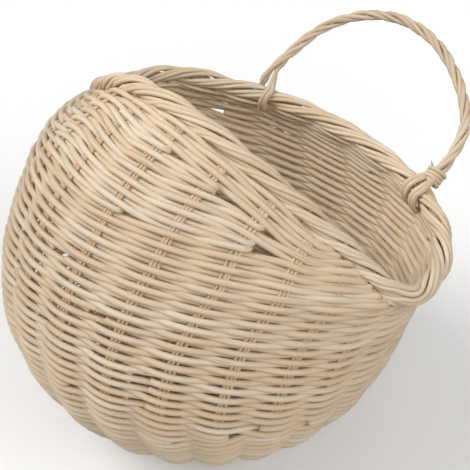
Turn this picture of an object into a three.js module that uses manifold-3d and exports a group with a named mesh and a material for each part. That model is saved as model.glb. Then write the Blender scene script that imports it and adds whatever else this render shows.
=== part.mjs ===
import * as THREE from "three";
import { mergeVertices } from "three/addons/utils/BufferGeometryUtils.js";
import Module from "manifold-3d";

// A ball-shaped rattan basket with a hooded front, a lens-shaped mouth and a twisted hanging handle.
// Millimetres, +Z up. It stands on its woven base, the hood is towards -Y and the handle leans to +Y.
// The origin is the middle of the base, on the table.

// Body
const ballRadius = 115.5; // middle of the wall
const lowerHalf = 0.94; // the ball is a little flatter below its middle
const wallStartRadius = 60; // where the wall turns up out of the base
const wallStartHeight = 9;
const mouthHalfWidth = 130; // the two corners of the mouth, pinched out past the ball
const cornerRounding = 1 / 36; // share of a row, to each side of a corner, that is rounded off
const cornerBack = 18; // corners behind the centre of the ball
const cornerUp = 41; // and above it
const mouthBackDepth = 85; // from the line of the corners to the middle of the back rim
const hoodTilt = THREE.MathUtils.degToRad(60.5); // plane of the front rim
const cornerTilt = THREE.MathUtils.degToRad(15); // last closed ring of the weave
const backTilt = THREE.MathUtils.degToRad(-4.5); // plane of the back rim

// Cane
const stakeCount = 24;
const rodDiameter = 1.9; // a stake is a flat row of these rods
const rodsPerStake = 3;
const outerCrest = 4.1; // wall face over a stake, from the middle of the wall
const outerDip = 1.9; // and halfway to the next, where all the weavers cross
const innerCrest = 4.1; // the same inside
const innerDip = 1.9;
const stakeDepth = 0.9; // middle of a stake inside the middle of the wall
const clearance = 0.3;
const grooveClearance = 0.45; // round a stake in the wall, which twists a little near the corners

// Base
const baseHoleRadius = 15; // round the cross of sticks
const baseThickness = 8;
const baseDome = 3; // the middle is lifted, so that the basket stands on a ring
const footInner = 41; // flat ring that it stands on
const footOuter = 52;
const stakeInnerRadius = 29; // where a stake starts, in the weave of the base
const crossRods = 5;
const crossRodDiameter = 3.9;
const crossLength = 22; // its sticks end close inside the weave

// Border
const strandDiameter = 5.3; // a stake's end, laid along the rim
const strandCircle = 3.5; // its middle, round the middle of the border
const wrapSpan = 3; // stakes that it passes before it is tucked in
const borderSeat = 0.45; // between the top of the wall and the border
const borderOut = 2.5; // the border stands out a little past the wall
const cornerSeat = 6; // and more at the corners, where the border turns in a curve

// Handle
// Its middle line: distance to the side, and from the rim up the leaning plane. Its ends are its feet.
const handleLine = [
  [-65, 10.5],
  [-65, 34],
  [-58, 60],
  [-38, 79],
  [-12, 87],
  [18, 83],
  [48, 68],
  [70, 48],
  [78, 26],
  [78, 10.5],
];
const handleLean = THREE.MathUtils.degToRad(32); // above level, away from the hood
const handleRod = 2.9;
const handleRods = 3;
const handleRodSides = 6;
const handleTurn = 34; // one turn of the twist
const tunnelDepth = 3.8; // hole for the rods, below the top of the wall
const bindingRod = 2.4;
const bindingTurns = 3;
const bindingRodSides = 5;

// Derived
const borderRadius = strandCircle + strandDiameter / 2;
const wallTrim = (share) => {
  const fromCorner = Math.abs(Math.sin(2 * Math.PI * share));
  return borderRadius + borderSeat + cornerSeat * Math.max(0, 1 - fromCorner / cornerReach) ** 2;
};
const ballHeight = wallStartHeight + lowerHalf * Math.sqrt(ballRadius ** 2 - wallStartRadius ** 2);
const stakeHalfWidth = (rodsPerStake * rodDiameter) / 2;
const stakeHalfThickness = rodDiameter / 2;
const grooveHalfWidth = stakeHalfWidth + grooveClearance;
const grooveFloor = stakeHalfThickness - stakeDepth + grooveClearance;
const corner = new THREE.Vector3(0, cornerBack, cornerUp);
const cornerReach = Math.sin((2 * Math.PI * 2) / stakeCount); // two stakes to each side of a corner

const caneColours = { weave: 0xd9c3a1, stake: 0xc9a982, handle: 0xd2ba95 };
const cane = (colour, roughness) => new THREE.MeshStandardMaterial({ color: colour, roughness });
const weaveCane = cane(caneColours.weave, 0.62);
const stakeCane = cane(caneColours.stake, 0.6);
const handleCane = cane(caneColours.handle, 0.58);

const wasm = await Module();
wasm.setup();
const basket = new THREE.Group();
const lerp = THREE.MathUtils.lerp;

function addMesh(name, geometry, material) {
  const mesh = new THREE.Mesh(geometry, material);
  mesh.name = name;
  basket.add(mesh);
  return mesh;
}

// Rows of the weave
// A row lies in a plane tilted about the X direction. "ahead" points to the hood within that plane.
const ahead = (tilt) => new THREE.Vector3(0, -Math.cos(tilt), Math.sin(tilt));
const upright = (tilt) => new THREE.Vector3(0, Math.sin(tilt), Math.cos(tilt));

const rowSteps = 90; // half a row is measured in this many steps

// One oval row: half width along X, depths to the front and back, and how pointed each half is.
function ovalRow(middle, tilt, halfWidth, front, back, frontPower, backPower, crowding) {
  const towards = ahead(tilt);
  const point = (a) => {
    const s = Math.abs(Math.sin(a));
    const depth = Math.sin(a) >= 0 ? front * s ** frontPower : -back * s ** backPower;
    return middle.clone().addScaledVector(towards, depth).setX(halfWidth * Math.cos(a));
  };
  const half = (from) => {
    const points = [];
    for (let i = 0; i <= rowSteps; i++) points.push(point(from + (Math.PI * i) / rowSteps));
    const lengths = [0];
    for (let i = 1; i <= rowSteps; i++) lengths.push(lengths[i - 1] + points[i].distanceTo(points[i - 1]));
    return { points, lengths };
  };
  return { front: half(0), back: half(Math.PI), crowding };
}

// Point at a share of the way round a row: 0 is the +X corner, 0.25 the hood, 0.75 the back.
function onRow(row, share) {
  const nearest = Math.round(2 * share) / 2;
  const past = (share - nearest) / cornerRounding;
  if (Math.abs(past) >= 1) return onSharpRow(row, share);
  const part = (past + 1) / 2;
  return onSharpRow(row, nearest - cornerRounding)
    .multiplyScalar((1 - part) ** 2)
    .addScaledVector(onSharpRow(row, nearest), 2 * part * (1 - part))
    .addScaledVector(onSharpRow(row, nearest + cornerRounding), part ** 2);
}

function onSharpRow(row, share) {
  const turn = share - Math.floor(share);
  const arc = turn < 0.5 ? row.front : row.back;
  const part = (turn < 0.5 ? turn : turn - 0.5) * 2;
  const spread = part - row.crowding * Math.sin(2 * Math.PI * part);
  const wanted = spread * arc.lengths[rowSteps];
  let i = 1;
  while (i < rowSteps && arc.lengths[i] < wanted) i++;
  const step = (wanted - arc.lengths[i - 1]) / (arc.lengths[i] - arc.lengths[i - 1]);
  return arc.points[i - 1].clone().lerp(arc.points[i], step);
}

// Closed rings up the ball, level at the bottom, then tilted and drawn out towards the corners.
const levelUntil = THREE.MathUtils.degToRad(110); // angle of a ring's front from the top of the ball
const flareFrom = THREE.MathUtils.degToRad(104);
const cornerRing = Math.acos(corner.dot(upright(cornerTilt)) / ballRadius) - cornerTilt;
const firstRing = Math.PI - Math.asin(wallStartRadius / ballRadius);
const frontPoint = { ring: 1.5, rim: 2.35 }; // how pointed the rows' ends are
const backPoint = { ring: 0.92, rim: 0.82 };
const flareBend = 1.9; // how late the rings are drawn out
const rimCrowding = 0.035; // rows' stakes are drawn a little towards the corners

function ringRow(angle) {
  const rise = THREE.MathUtils.clamp((levelUntil - angle) / (levelUntil - cornerRing), 0, 1);
  const flare = THREE.MathUtils.clamp((flareFrom - angle) / (flareFrom - cornerRing), 0, 1) ** flareBend;
  const tilt = cornerTilt * rise;
  const height = ballRadius * Math.cos(angle + tilt);
  const radius = Math.sqrt(ballRadius ** 2 - height ** 2);
  const centre = upright(tilt).multiplyScalar(height);
  const shift = flare * corner.clone().sub(centre).dot(ahead(tilt));
  return ovalRow(
    centre.addScaledVector(ahead(tilt), shift),
    tilt,
    lerp(radius, mouthHalfWidth, flare),
    radius - shift,
    radius + shift,
    lerp(1, frontPoint.ring, flare),
    lerp(1, backPoint.ring, flare),
    rimCrowding * flare,
  );
}

// Above the corners the rows fan out about the line of the corners: up the hood, and up the back.
function fanRow(part) {
  const hood = lerp(cornerTilt, hoodTilt, part);
  const back = lerp(cornerTilt, backTilt, part);
  const along = corner.dot(ahead(hood));
  const front = -along + Math.sqrt(along ** 2 + ballRadius ** 2 - corner.lengthSq());
  const ring = ringRow(cornerRing);
  const cornerDepth = corner.clone().sub(onRow(ring, 0.75)).length();
  const powers = [lerp(frontPoint.ring, frontPoint.rim, part), lerp(backPoint.ring, backPoint.rim, part)];
  const hoodRow = ovalRow(corner, hood, mouthHalfWidth, front, 1, powers[0], 1, rimCrowding);
  const depth = lerp(cornerDepth, mouthBackDepth, part);
  const backRow = ovalRow(corner, back, mouthHalfWidth, 1, depth, 1, powers[1], rimCrowding);
  return { front: hoodRow.front, back: backRow.back, crowding: rimCrowding };
}

const ringSteps = 20;
const fanSteps = 10;
const wallRows = [];
for (let i = 0; i <= ringSteps; i++) wallRows.push(ringRow(lerp(firstRing, cornerRing, i / ringSteps)));
for (let i = 1; i <= fanSteps; i++) wallRows.push(fanRow(i / fanSteps));

// The way up the wall at one share of the rows, from the base to the middle of the border.
function wayUp(share) {
  const points = wallRows.map((row) => {
    const { x, y, z } = onRow(row, share);
    return new THREE.Vector3(x, y, ballHeight + (z < 0 ? lowerHalf * z : z));
  });
  const lengths = [0];
  for (let i = 1; i < points.length; i++) {
    lengths.push(lengths[i - 1] + points[i].distanceTo(points[i - 1]));
  }
  const total = lengths[lengths.length - 1];
  const at = (distance) => {
    let i = 1;
    while (i < points.length - 1 && lengths[i] < distance) i++;
    const step = (distance - lengths[i - 1]) / (lengths[i] - lengths[i - 1]);
    return points[i - 1].clone().lerp(points[i], step);
  };
  return { at, total };
}

// A place in the wall, with its outward normal, its direction up the wall and its direction along the row.
// The directions come from places a little to each side, so that the wall stays smooth.
const sideReach = 1 / 160;
const upReach = 5;
function wallPlace(share, height, gap) {
  const spot = (s, extra) => {
    const way = wayUp(s);
    return way.at(height * (way.total - wallTrim(s)) + gap + extra);
  };
  const point = spot(share, 0);
  const up = spot(share, upReach).sub(spot(share, -upReach)).normalize();
  const along = spot(share + sideReach, 0).sub(spot(share - sideReach, 0));
  const out = up.clone().cross(along).normalize();
  return { point, out, up, along: out.clone().cross(up).normalize() };
}

// A place in the flat base, with the same directions: outward is down, and up is away from the middle.
function basePlace(share, radius, middle) {
  const angle = 2 * Math.PI * share;
  const away = new THREE.Vector3(Math.cos(angle), -Math.sin(angle), 0);
  const out = new THREE.Vector3(0, 0, -1);
  const point = away.clone().multiplyScalar(radius).setZ(middle);
  return { point, out, up: away, along: out.clone().cross(away).normalize() };
}

const move = (place, along, out) =>
  place.point.clone().addScaledVector(place.along, along).addScaledVector(place.out, out);

// A closed band of weave from a list of levels. Each level gives a place for any share of the way round,
// and how far its faces lie from it. The band waves: it stands out over each stake and is thin between two,
// where the weavers cross. Inside, a groove takes each stake.
function bandOf(levels) {
  const positions = [];
  const index = [];
  const put = (v) => positions.push(v.x, v.y, v.z) / 3 - 1;
  const grid = levels.map((level) => {
    const columns = [];
    for (let k = 0; k < stakeCount; k++) {
      const stake = level.place((k + 0.5) / stakeCount);
      const spacing = stake.point.distanceTo(level.place((k + 1.5) / stakeCount).point);
      const wide = Math.min(grooveHalfWidth, spacing * 0.4);
      const between = level.place((k + 1) / stakeCount);
      const floor = level.grooved ? [wide, grooveFloor] : [wide / 2, -level.inside];
      columns.push({
        inner: [
          put(move(stake, -wide, -level.inside)),
          put(move(stake, -floor[0], floor[1])),
          put(move(stake, floor[0], floor[1])),
          put(move(stake, wide, -level.inside)),
          put(move(between, 0, -level.insideDip)),
        ],
        outer: [
          put(move(stake, -wide, level.outside)),
          put(move(stake, wide, level.outside)),
          put(move(between, 0, level.outsideDip)),
        ],
      });
    }
    return {
      columns,
      inner: columns.flatMap((c) => c.inner),
      outer: columns.flatMap((c) => c.outer),
    };
  });
  const quad = (a, b, c, d) => index.push(a, b, c, a, c, d);
  for (let i = 0; i + 1 < grid.length; i++) {
    const low = grid[i];
    const high = grid[i + 1];
    for (let j = 0; j < low.inner.length; j++) {
      const next = (j + 1) % low.inner.length;
      quad(low.inner[next], high.inner[next], high.inner[j], low.inner[j]);
    }
    for (let j = 0; j < low.outer.length; j++) {
      const next = (j + 1) % low.outer.length;
      quad(low.outer[j], high.outer[j], high.outer[next], low.outer[next]);
    }
  }
  const edge = (level, flip) => {
    const face = (first, ...rest) => {
      for (let i = 0; i + 1 < rest.length; i++) {
        if (flip) index.push(first, rest[i + 1], rest[i]);
        else index.push(first, rest[i], rest[i + 1]);
      }
    };
    for (let k = 0; k < stakeCount; k++) {
      const { inner, outer } = level.columns[k];
      const after = level.columns[(k + 1) % stakeCount];
      face(outer[0], inner[0], inner[1]);
      face(outer[0], inner[1], inner[2], outer[1]);
      face(outer[1], inner[2], inner[3]);
      face(outer[2], outer[1], inner[3], inner[4], after.inner[0], after.outer[0]);
    }
  };
  edge(grid[0], true);
  edge(grid[grid.length - 1], false);
  const geometry = new THREE.BufferGeometry();
  geometry.setAttribute("position", new THREE.Float32BufferAttribute(positions, 3));
  geometry.setIndex(index);
  return geometry;
}

// A closed solid through sections of equal count, each seen anticlockwise from the far end.
function loft(sections) {
  const count = sections[0].length;
  const positions = sections.flat().flatMap((v) => [v.x, v.y, v.z]);
  const index = [];
  for (let i = 0; i + 1 < sections.length; i++) {
    for (let j = 0; j < count; j++) {
      const a = i * count + j;
      const b = i * count + ((j + 1) % count);
      index.push(a, b, b + count, a, b + count, a + count);
    }
  }
  const last = (sections.length - 1) * count;
  for (let j = 1; j + 1 < count; j++) index.push(0, j + 1, j, last, last + j, last + j + 1);
  const geometry = new THREE.BufferGeometry();
  geometry.setAttribute("position", new THREE.Float32BufferAttribute(positions, 3));
  geometry.setIndex(index);
  return geometry;
}

// A round rod through points, its sections carried along without twist.
function rod(points, radius, sides) {
  let across = null;
  const sections = points.map((point, i) => {
    const before = points[Math.max(i - 1, 0)];
    const after = points[Math.min(i + 1, points.length - 1)];
    const way = after.clone().sub(before).normalize();
    if (!across) across = new THREE.Vector3(0, 0, 1).cross(way);
    across.addScaledVector(way, -across.dot(way)).normalize();
    const other = way.clone().cross(across);
    return Array.from({ length: sides }, (_, j) => {
      const turn = (2 * Math.PI * j) / sides;
      return point
        .clone()
        .addScaledVector(across, radius * Math.cos(turn))
        .addScaledVector(other, radius * Math.sin(turn));
    });
  });
  return loft(sections);
}

// The woven wall and base
const wallSteps = 3; // levels in each band of the wall
const bandNames = ["wall_lower", "wall_middle", "wall_upper"];
const joint = clearance / 2; // each band stops this far from the line where two bands meet
const baseMiddle = baseThickness / 2;
const baseLift = (radius) => baseDome * THREE.MathUtils.clamp((footInner - radius) / footInner, 0, 1);
const grooveStart = stakeInnerRadius - grooveClearance;
const baseRings = [baseHoleRadius, grooveStart - grooveClearance, grooveStart, footInner, footOuter];
const flat = { inside: baseMiddle, insideDip: baseMiddle, outside: baseMiddle, outsideDip: baseMiddle };
const waved = {
  inside: innerCrest,
  insideDip: innerDip,
  outside: outerCrest,
  outsideDip: outerDip,
  grooved: true,
};
const baseFaces = baseRings.map((radius) => ({
  place: (share) => basePlace(share, radius, baseMiddle + baseLift(radius)),
  grooved: radius >= grooveStart,
  ...flat,
}));
baseFaces.push({ place: (share) => wallPlace(share, 0, -joint), ...waved });
const stakedBase = baseFaces.slice(3);

const wallBands = bandNames.map((name, band) => {
  const levels = [];
  for (let i = 0; i <= wallSteps; i++) {
    const height = (band + i / wallSteps) / bandNames.length;
    const topmost = band === bandNames.length - 1 && i === wallSteps;
    const gap = i === 0 ? joint : i === wallSteps && !topmost ? -joint : 0;
    levels.push({ place: (share) => wallPlace(share, height, gap), ...waved });
  }
  return { name, levels };
});

// The border: the middle line of the rim, and its directions
const stakeShare = (k) => (k + 0.5) / stakeCount;
const rimTops = [];
for (let k = 0; k < stakeCount; k++) {
  const way = wayUp(stakeShare(k));
  const top = wallPlace(stakeShare(k), 1, 0);
  rimTops.push({ point: way.at(way.total).addScaledVector(top.out, borderOut), up: top.up });
}
const rimLine = new THREE.CatmullRomCurve3(
  rimTops.map((top) => top.point),
  true,
);

function rimPlace(share) {
  const turn = (share + 1 - stakeShare(0)) % 1;
  const step = turn * stakeCount;
  const low = rimTops[Math.floor(step) % stakeCount];
  const high = rimTops[(Math.floor(step) + 1) % stakeCount];
  const point = rimLine.getPoint(turn);
  const along = rimLine.getTangent(turn);
  const up = low.up.clone().lerp(high.up, step - Math.floor(step));
  up.addScaledVector(along, -up.dot(along)).normalize();
  return { point, up, along, out: up.clone().cross(along).normalize() };
}

// Stakes: a flat row of rods from the base up the wall, whose end becomes one strand of the border
const sixSides = [
  [-1, 0],
  [-0.5, -1],
  [0.5, -1],
  [1, 0],
  [0.5, 1],
  [-0.5, 1],
];
const borderSteps = 7;
const tuckFrom = THREE.MathUtils.degToRad(38); // turn of a strand where it has left its stake
const tuckTo = THREE.MathUtils.degToRad(325); // and where it is tucked in

function stakeSolid(k) {
  const share = stakeShare(k);
  const flatSection = (place, raise) =>
    sixSides.map(([x, y]) => {
      const wide = Math.sign(x) * (y === 0 ? stakeHalfWidth : stakeHalfWidth - stakeHalfThickness);
      return move(place, wide, y * stakeHalfThickness - stakeDepth).addScaledVector(place.up, raise);
    });
  const start = basePlace(share, stakeInnerRadius, baseMiddle + baseLift(stakeInnerRadius));
  const sections = [flatSection(start, 0)];
  for (const level of stakedBase) sections.push(flatSection(level.place(share), 0));
  for (const { levels } of wallBands) {
    for (const level of levels.slice(1)) sections.push(flatSection(level.place(share), 0));
  }
  sections.push(flatSection(wallPlace(share, 1, 0), borderSeat));
  const passed = (turn) => rimPlace(share - ((turn / (2 * Math.PI)) * wrapSpan) / stakeCount);
  const centre = (turn) => {
    const place = passed(turn);
    return place.point
      .clone()
      .addScaledVector(place.up, -strandCircle * Math.cos(turn))
      .addScaledVector(place.out, strandCircle * Math.sin(turn));
  };
  for (let i = 0; i <= borderSteps; i++) {
    const turn = lerp(tuckFrom, tuckTo, i / borderSteps);
    const middle = centre(turn);
    const way = centre(turn + 0.1).sub(centre(turn - 0.1)).normalize();
    const place = passed(turn);
    const across = place.up.clone().addScaledVector(way, -place.up.dot(way)).normalize();
    const other = way.clone().cross(across);
    sections.push(
      sixSides.map(([x, y]) =>
        middle
          .clone()
          .addScaledVector(across, (x * strandDiameter) / 2)
          .addScaledVector(other, (y * Math.sqrt(0.75) * strandDiameter) / 2),
      ),
    );
  }
  return loft(sections);
}

// The handle: rods twisted into a rope, in a plane that leans back from the rim
const leanWay = new THREE.Vector3(0, Math.cos(handleLean), Math.sin(handleLean));
const leanFace = new THREE.Vector3(0, -Math.sin(handleLean), Math.cos(handleLean));

// Share of the back rim at one distance to the side
function rimShareAt(x) {
  let low = 0.5;
  let high = 1;
  for (let i = 0; i < 40; i++) {
    const middle = (low + high) / 2;
    if (rimPlace(middle).point.x < x) low = middle;
    else high = middle;
  }
  return (low + high) / 2;
}

const feet = [handleLine[0], handleLine[handleLine.length - 1]].map(([x, start]) => {
  const share = rimShareAt(x);
  return { x, start, rim: rimPlace(share), hole: wallPlace(share, 1, -tunnelDepth) };
});
const footMiddle = feet[0].rim.point.clone().add(feet[1].rim.point).multiplyScalar(0.5);
const ropeCurve = new THREE.CatmullRomCurve3(
  handleLine.map(([x, distance]) => footMiddle.clone().addScaledVector(leanWay, distance).setX(x)),
);
const ropeCircle = (handleRod + clearance) / Math.sqrt(3) + 0.1; // three rods side by side round it
const ropeTurns = Math.round(ropeCurve.getLength() / handleTurn);
const ropeStepsPerTurn = 6;

function ropeStrand(which) {
  const steps = ropeTurns * ropeStepsPerTurn;
  const points = [];
  for (let i = 0; i <= steps; i++) {
    const middle = ropeCurve.getPointAt(i / steps);
    const way = ropeCurve.getTangentAt(i / steps);
    const other = way.clone().cross(leanFace);
    const turn = 2 * Math.PI * ((ropeTurns * i) / steps + which / handleRods);
    points.push(
      middle
        .addScaledVector(leanFace, ropeCircle * Math.cos(turn))
        .addScaledVector(other, ropeCircle * Math.sin(turn)),
    );
  }
  return points;
}

// One rod goes over the border and the other under it, and both end in the hole below the border.
const reachRound = borderRadius + handleRod / 2 + 2 * clearance; // round the border
const reachInside = reachRound + borderOut;
function legOver({ rim, hole }) {
  const spot = (out, up) => rim.point.clone().addScaledVector(rim.out, out).addScaledVector(rim.up, up);
  return [
    move(hole, 0, -clearance / 2),
    move(hole, 0, -innerCrest - handleRod),
    spot(-reachInside - clearance, -reachRound * 0.6),
    spot(-reachInside, reachRound * 0.3),
    spot(-reachRound * 0.6, reachRound * 0.85),
    spot(reachRound * 0.15, reachRound * 1.02),
  ];
}
function legUnder({ rim, hole }) {
  const spot = (out, up) => rim.point.clone().addScaledVector(rim.out, out).addScaledVector(rim.up, up);
  return [
    move(hole, 0, clearance / 2),
    move(hole, 0, outerCrest + handleRod / 2),
    spot(reachRound * 1.05, -reachRound * 0.62),
  ];
}

function handleStrand(which) {
  const rope = ropeStrand(which);
  if (which === 0) return [...legOver(feet[0]), ...rope, ...legOver(feet[1]).reverse()];
  if (which === 1) return [...legUnder(feet[0]), ...rope, ...legUnder(feet[1]).reverse()];
  return rope;
}

// The binding round the foot of the rope on the +X side
const bindingSides = 9; // steps of one turn
function bindingLine() {
  const radius = ropeCircle + handleRod / 2 + bindingRod / 2 + clearance;
  const pitch = bindingRod + clearance;
  const steps = bindingTurns * bindingSides;
  const foot = feet[1];
  const start = footMiddle.clone().addScaledVector(leanWay, foot.start + bindingRod / 2).setX(foot.x);
  return Array.from({ length: steps + 1 }, (_, i) => {
    const turn = (2 * Math.PI * i) / bindingSides;
    return start
      .clone()
      .addScaledVector(leanWay, (pitch * i) / bindingSides)
      .addScaledVector(leanFace, radius * Math.cos(turn))
      .add(new THREE.Vector3(radius * Math.sin(turn), 0, 0));
  });
}

// The cross of sticks in the middle of the base
function crossSlab(length) {
  const shape = new THREE.Shape();
  const reach = (crossRods * crossRodDiameter) / 2;
  const bumps = 3;
  for (const side of [1, -1]) {
    for (let rodIndex = 0; rodIndex < crossRods; rodIndex++) {
      const middle = side * (reach - crossRodDiameter * (rodIndex + 0.5));
      for (let i = 0; i < bumps; i++) {
        const turn = (Math.PI * (i + 0.5)) / bumps;
        const x = middle + side * (crossRodDiameter / 2) * Math.cos(turn);
        const y = side * (crossRodDiameter / 2) * Math.sin(turn);
        if (side === 1 && rodIndex === 0 && i === 0) shape.moveTo(x, y);
        else shape.lineTo(x, y);
      }
    }
  }
  shape.closePath();
  const geometry = new THREE.ExtrudeGeometry(shape, { depth: length, bevelEnabled: false });
  geometry.translate(0, 0, -length / 2);
  geometry.rotateX(Math.PI / 2);
  return geometry;
}

// A mesh as a solid, and back
function solidOf(geometry) {
  const plain = geometry.clone();
  plain.deleteAttribute("normal");
  plain.deleteAttribute("uv");
  const merged = mergeVertices(plain, 1e-4);
  return new wasm.Manifold(
    new wasm.Mesh({
      numProp: 3,
      vertProperties: new Float32Array(merged.attributes.position.array),
      triVerts: new Uint32Array(merged.index.array),
    }),
  );
}
function geometryOf(solid) {
  const mesh = solid.getMesh();
  const geometry = new THREE.BufferGeometry();
  geometry.setAttribute("position", new THREE.Float32BufferAttribute(mesh.vertProperties, mesh.numProp));
  geometry.setIndex(new THREE.Uint32BufferAttribute(mesh.triVerts, 1));
  return geometry;
}

// Assembly
addMesh("base_weave", bandOf(baseFaces), weaveCane);
const holeRadius = handleRod / 2 + 2 * clearance;
const holeCutters = feet.map(({ hole }) =>
  solidOf(rod([move(hole, 0, -3 * innerCrest), move(hole, 0, 3 * outerCrest)], holeRadius, 8)),
);
const [lowerBand, middleBand, upperBand] = wallBands;
addMesh(lowerBand.name, bandOf(lowerBand.levels), weaveCane);
addMesh(middleBand.name, bandOf(middleBand.levels), weaveCane);
const unholed = solidOf(bandOf(upperBand.levels));
const holed = holeCutters.reduce((wall, cutter) => wall.subtract(cutter), unholed);
addMesh(upperBand.name, geometryOf(holed), weaveCane);

const crossMiddle = baseMiddle + baseLift(0);
const crossLower = addMesh("base_cross_lower", crossSlab(crossLength), stakeCane);
crossLower.position.z = crossMiddle - (crossRodDiameter + clearance) / 2;
const crossUpper = addMesh("base_cross_upper", crossSlab(crossLength), stakeCane);
crossUpper.position.z = crossMiddle + (crossRodDiameter + clearance) / 2;
crossUpper.rotation.z = Math.PI / 2;

for (let k = 0; k < stakeCount; k++) {
  addMesh(`stake_${String(k + 1).padStart(2, "0")}`, stakeSolid(k), stakeCane);
}

const strandNames = ["handle_rod_over", "handle_rod_under", "handle_rod_middle"];
strandNames.forEach((name, which) => {
  addMesh(name, rod(handleStrand(which), handleRod / 2, handleRodSides), handleCane);
});
addMesh("handle_binding", rod(bindingLine(), bindingRod / 2, bindingRodSides), handleCane);

export default basket;
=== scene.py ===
import math

import bpy
import numpy as np
from mathutils import Matrix, Vector


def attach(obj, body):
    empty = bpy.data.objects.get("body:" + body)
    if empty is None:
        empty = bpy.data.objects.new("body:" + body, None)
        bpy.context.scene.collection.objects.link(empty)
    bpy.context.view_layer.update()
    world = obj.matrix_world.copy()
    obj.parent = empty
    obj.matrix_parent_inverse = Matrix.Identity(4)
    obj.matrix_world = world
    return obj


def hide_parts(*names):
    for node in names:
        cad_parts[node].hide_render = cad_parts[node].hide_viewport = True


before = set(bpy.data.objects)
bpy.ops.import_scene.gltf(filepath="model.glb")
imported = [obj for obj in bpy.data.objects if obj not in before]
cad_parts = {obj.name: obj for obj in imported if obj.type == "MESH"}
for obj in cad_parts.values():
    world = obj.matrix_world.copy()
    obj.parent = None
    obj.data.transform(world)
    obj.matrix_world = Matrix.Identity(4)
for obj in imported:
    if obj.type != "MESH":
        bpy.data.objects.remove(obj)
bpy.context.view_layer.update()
bpy.ops.object.select_all(action="DESELECT")

# Camera
# It stands in front of the basket's +X side, well above it, and looks down at the hood, at the +X corner
# of the mouth and across the mouth to the handle. The basket's middle lies a little left of the picture's
# middle and below it.
azimuth = math.radians(48.93)
elevation = math.radians(36.92)
ball_height = 101.77
picture_width = 470
focal_pixels = 1203.85
middle_off_axis = (-27.0, -27.0)
camera_distance = 0.7015
sensor_width = 36
rightward = np.array((math.cos(azimuth), math.sin(azimuth), 0.0))
backward = np.array(
    (
        math.sin(azimuth) * math.cos(elevation),
        -math.cos(azimuth) * math.cos(elevation),
        math.sin(elevation),
    )
)
upward = np.cross(backward, rightward)
sight = np.array((*middle_off_axis, -focal_pixels))
sight *= camera_distance / np.linalg.norm(sight)
eye = np.array((0.0, 0.0, ball_height / 1000))
eye = eye - (rightward * sight[0] + upward * sight[1] + backward * sight[2])
bpy.ops.object.camera_add()
camera = bpy.context.object
camera.matrix_world = Matrix(
    [
        [rightward[0], upward[0], backward[0], eye[0]],
        [rightward[1], upward[1], backward[1], eye[1]],
        [rightward[2], upward[2], backward[2], eye[2]],
        [0, 0, 0, 1],
    ]
)
camera.data.sensor_width = sensor_width
camera.data.lens = sensor_width * focal_pixels / picture_width
camera.data.clip_start = 0.01
camera.data.clip_end = 50
bpy.context.scene.camera = camera
bpy.context.scene.view_settings.view_transform = "Standard"

# Cane
# Peeled rattan core, pale and dry, with fine fibres and worn patches along each rod, a few darker vessels,
# and a tone of its own for each rod. Every rod of the basket is laid by the same function.
fibres = bpy.data.node_groups.new("cane fibres", "ShaderNodeTree")
face = fibres.interface
for socket, kind, value in (
    ("Pale", "NodeSocketColor", (0.8, 0.7, 0.55, 1)),
    ("Warm", "NodeSocketColor", (0.7, 0.5, 0.3, 1)),
    ("Dark", "NodeSocketColor", (0.4, 0.25, 0.12, 1)),
    ("Fibre", "NodeSocketFloat", 0.5),
):
    face.new_socket(socket, in_out="INPUT", socket_type=kind).default_value = value
for socket, kind in (
    ("Color", "NodeSocketColor"),
    ("Roughness", "NodeSocketFloat"),
    ("Height", "NodeSocketFloat"),
):
    face.new_socket(socket, in_out="OUTPUT", socket_type=kind)
nodes = fibres.nodes
link = fibres.links.new
given = nodes.new("NodeGroupInput")
result = nodes.new("NodeGroupOutput")
along_rod = nodes.new("ShaderNodeUVMap")
along_rod.uv_map = "along"
tone = nodes.new("ShaderNodeAttribute")
tone.attribute_name = "tone"
spread = nodes.new("ShaderNodeCombineXYZ")
link(tone.outputs["Fac"], spread.inputs["Z"])
place = nodes.new("ShaderNodeVectorMath")
place.operation = "ADD"
link(along_rod.outputs["UV"], place.inputs[0])
link(spread.outputs[0], place.inputs[1])


# The scale is along the rod, round it, and from one rod's tone to the next
def rod_noise(scale, detail):
    stretch = nodes.new("ShaderNodeMapping")
    stretch.inputs["Scale"].default_value = scale
    noise = nodes.new("ShaderNodeTexNoise")
    noise.inputs["Scale"].default_value = 1
    noise.inputs["Detail"].default_value = detail
    link(place.outputs[0], stretch.inputs["Vector"])
    link(stretch.outputs[0], noise.inputs["Vector"])
    return noise.outputs["Fac"]


# From one position and grey to another
def ramp(factor, stops):
    node = nodes.new("ShaderNodeValToRGB")
    for element, (position, grey) in zip(node.color_ramp.elements, stops):
        element.position = position
        element.color = (grey, grey, grey, 1)
    link(factor, node.inputs["Fac"])
    return node.outputs["Color"]


def mix(kind, factor, first, second):
    node = nodes.new("ShaderNodeMix")
    node.data_type = "RGBA"
    node.blend_type = kind
    if isinstance(factor, float):
        node.inputs["Factor"].default_value = factor
    else:
        link(factor, node.inputs["Factor"])
    link(first, node.inputs["A"])
    link(second, node.inputs["B"])
    return node.outputs["Result"]


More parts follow.
